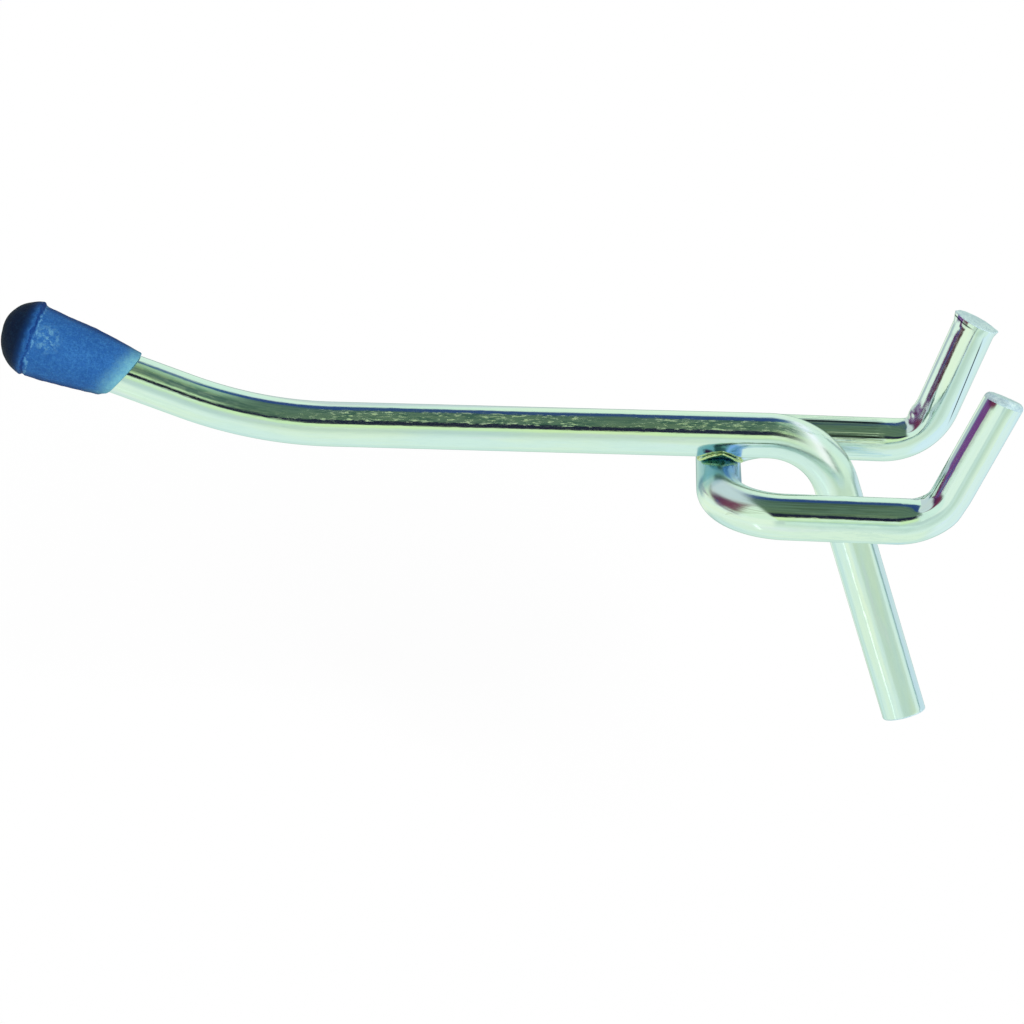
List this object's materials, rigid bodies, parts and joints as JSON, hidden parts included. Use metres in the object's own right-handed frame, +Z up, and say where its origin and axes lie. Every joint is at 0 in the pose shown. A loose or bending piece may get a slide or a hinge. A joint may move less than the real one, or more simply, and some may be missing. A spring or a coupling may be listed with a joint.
{
  "type": "pegboard hook",
  "caption": "Bent-wire pegboard hook with a straight arm, an upturned capped tip, a leg that bears on the board, and a welded U of pegs whose ends turn up behind the board.",
  "frame": {"origin": "midway between the two pegs, on their centrelines, where they meet the front face of a 3.2 mm board that touches the foot and the inside of the prong bends", "axes": "+X along the arm towards the board, +Y across the pegs, +Z up with the arm level"},
  "size_m": [0.1246, 0.0311, 0.054],
  "materials": {
    "zinc_wire": "bright zinc plating with a faint blue-green and yellow sheen",
    "zinc_weld": "plated weld flash, slightly yellowed",
    "blue_vinyl": "soft blue vinyl, dull and scuffed"
  },
  "bodies": {
    "root": {"arm_wire": "zinc_wire", "peg_wire": "zinc_wire", "weld_flash": "zinc_weld", "tip_cap": "blue_vinyl"}
  },
  "joints": []
}
